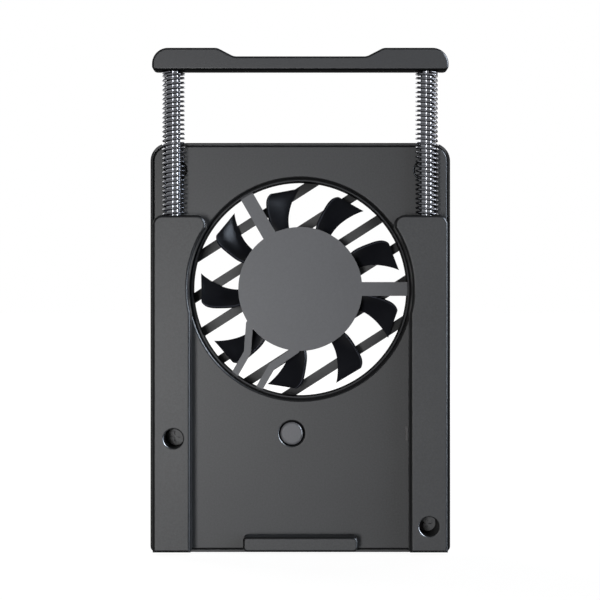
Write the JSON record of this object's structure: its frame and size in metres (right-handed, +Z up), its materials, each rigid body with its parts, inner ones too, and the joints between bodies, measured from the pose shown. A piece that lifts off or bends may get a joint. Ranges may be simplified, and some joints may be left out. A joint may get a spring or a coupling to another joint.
{
  "type": "camera cooling fan",
  "caption": "Flat clip-on cooling fan for the screen recess of a camera, with a round grille, two rails and a spring-loaded clamp bar on rods.",
  "frame": {"origin": "middle of the lower end, halfway through the overall thickness, with the fan standing on its lower end", "axes": "+X across the fan, seen from the side that faces the camera, +Z up towards the clamp bar, -Y towards the camera body, +Y out through the grille"},
  "size_m": [0.055, 0.0136, 0.092],
  "materials": {
    "case_plastic": "fine matt texture",
    "fan_plastic": "satin moulded",
    "blade_plastic": "glossy moulded",
    "bar_metal": "dark anodised, fine blasted",
    "rod_steel": "polished",
    "spring_steel": "drawn wire",
    "screw_steel": "black zinc",
    "plain_steel": "plain",
    "bush_bronze": "sintered",
    "magnet_ferrite": "dull",
    "copper_wire": "enamelled",
    "board_green": "solder mask",
    "chip_black": "moulded",
    "connector_white": "moulded",
    "button_plastic": "satin",
    "light_clear": "frosted clear",
    "cell_foil": "foil",
    "pad_foam": "foam",
    "wire_red": "insulation",
    "wire_black": "insulation"
  },
  "bodies": {
    "case": {"front_cover": "case_plastic", "rear_cover": "case_plastic", "fan_frame": "fan_plastic", "bearing_sleeve": "bush_bronze", "stator_core": "plain_steel", "stator_windings": "copper_wire", "motor_board": "board_green", "main_board": "board_green", "board_chips": "chip_black", "usb_socket": "plain_steel", "tact_switch": "plain_steel", "status_led": "light_clear", "light_pipe": "light_clear", "battery_cell": "cell_foil", "battery_pad": "pad_foam", "battery_connector": "connector_white", "battery_wire_positive": "wire_red", "battery_wire_negative": "wire_black", "fan_wire_positive": "wire_red", "fan_wire_negative": "wire_black", "case_screws": "screw_steel", "guide_bush_left": "bush_bronze", "guide_bush_right": "bush_bronze", "clamp_spring_left": "spring_steel", "clamp_spring_right": "spring_steel"},
    "clamp": {"clamp_bar": "bar_metal", "guide_rod_left": "rod_steel", "guide_rod_right": "rod_steel", "rod_collar_left": "plain_steel", "rod_collar_right": "plain_steel"},
    "rotor": {"impeller": "blade_plastic", "rotor_cup": "plain_steel", "ring_magnet": "magnet_ferrite", "rotor_shaft": "rod_steel"},
    "button": {"power_button": "button_plastic", "switch_plunger": "chip_black"}
  },
  "joints": [
    {"name": "clamp_slide", "type": "slide", "parent": "case", "child": "clamp", "axis": [0, 0, 1], "range_m": [-0.0125, 0], "stiffness_N_per_m": 360, "springref_m": 0.004, "deforming": ["clamp_spring_left", "clamp_spring_right"]},
    {"name": "impeller_spin", "type": "hinge", "parent": "case", "child": "rotor", "pos_m": [0, 0, 0.0483], "axis": [0, 1, 0], "continuous": true},
    {"name": "button_press", "type": "slide", "parent": "case", "child": "button", "axis": [0, 1, 0], "range_m": [0, 0.0005], "stiffness_N_per_m": 800, "springref_m": -0.0005}
  ]
}
